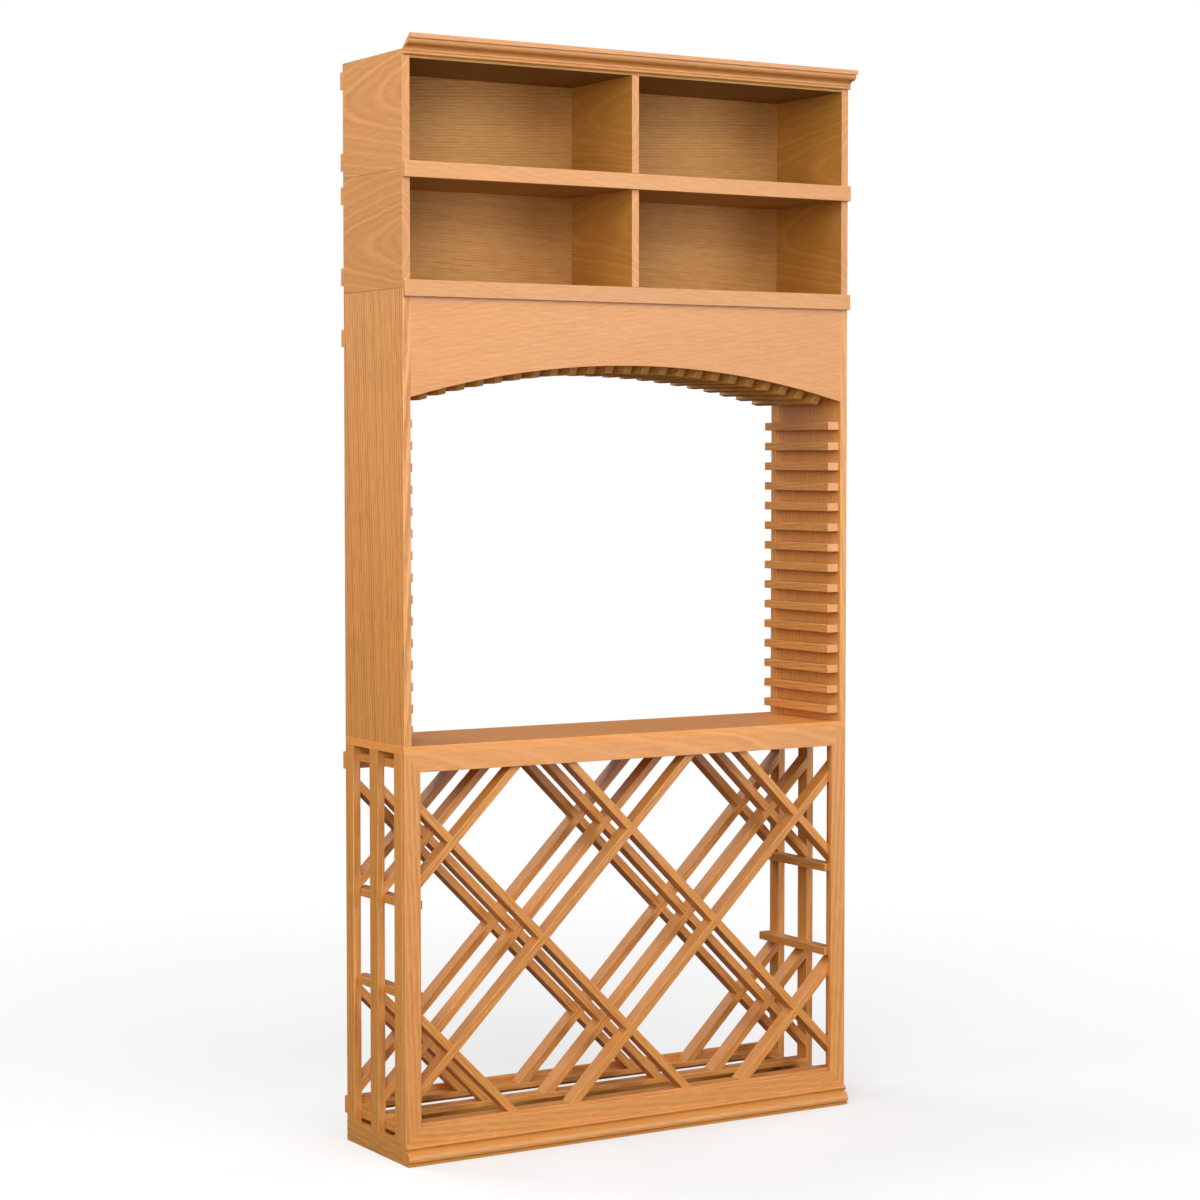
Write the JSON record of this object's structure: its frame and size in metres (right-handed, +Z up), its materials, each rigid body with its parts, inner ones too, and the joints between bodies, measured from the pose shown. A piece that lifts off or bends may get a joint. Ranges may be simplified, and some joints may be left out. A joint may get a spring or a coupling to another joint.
{
  "type": "wine tasting station",
  "caption": "Tall open wooden wine cabinet: diamond lattice bottle base, tasting table under a slatted arch, open case bins above and a crown moulding.",
  "frame": {"origin": "on the floor, at the middle of the width and of the overall depth", "axes": "+Z up, +X to the right seen from the front, +Y to the back towards the wall"},
  "size_m": [1.1644, 0.335, 2.419],
  "materials": {
    "panel_wood": "satin oiled",
    "frame_wood": "satin oiled",
    "slat_wood": "satin oiled",
    "lattice_wood": "satin oiled",
    "trim_wood": "satin oiled",
    "dowel_wood": "raw"
  },
  "bodies": {
    "root": {"arch_panel_left": "panel_wood", "arch_panel_right": "panel_wood", "arch_rib_front": "panel_wood", "arch_rib_rear": "panel_wood", "arch_side_slats_left": "slat_wood", "arch_side_slats_right": "slat_wood", "arch_slats": "slat_wood", "arch_valance": "panel_wood", "base_cleats_left": "slat_wood", "base_cleats_right": "slat_wood", "base_moulding": "trim_wood", "base_post_left_front": "frame_wood", "base_post_left_middle": "frame_wood", "base_post_left_rear": "frame_wood", "base_post_right_front": "frame_wood", "base_post_right_middle": "frame_wood", "base_post_right_rear": "frame_wood", "crown_moulding": "trim_wood", "face_frame_bottom": "frame_wood", "face_frame_left": "frame_wood", "face_frame_right": "frame_wood", "face_frame_top": "frame_wood", "floor_rails": "frame_wood", "lattice_front_falling": "lattice_wood", "lattice_front_rising": "lattice_wood", "lattice_middle_falling": "lattice_wood", "lattice_middle_rising": "lattice_wood", "lattice_rear_falling": "lattice_wood", "lattice_rear_rising": "lattice_wood", "lower_bin_back": "panel_wood", "lower_bin_divider": "panel_wood", "lower_bin_floor": "panel_wood", "lower_bin_side_left": "panel_wood", "lower_bin_side_right": "panel_wood", "lower_bin_strip": "trim_wood", "lower_bin_top": "panel_wood", "module_dowels": "dowel_wood", "plinth_board_front": "frame_wood", "plinth_rail_left": "frame_wood", "plinth_rail_rear": "frame_wood", "plinth_rail_right": "frame_wood", "tasting_table": "panel_wood", "top_rails": "frame_wood", "upper_bin_back": "panel_wood", "upper_bin_divider": "panel_wood", "upper_bin_floor": "panel_wood", "upper_bin_side_left": "panel_wood", "upper_bin_side_right": "panel_wood", "upper_bin_strip": "trim_wood", "upper_bin_top": "panel_wood", "wall_cleat_arch": "frame_wood", "wall_cleat_base_high": "frame_wood", "wall_cleat_base_low": "frame_wood", "wall_cleat_lower_bin_high": "frame_wood", "wall_cleat_lower_bin_low": "frame_wood", "wall_cleat_upper_bin_high": "frame_wood", "wall_cleat_upper_bin_low": "frame_wood"}
  },
  "joints": []
}
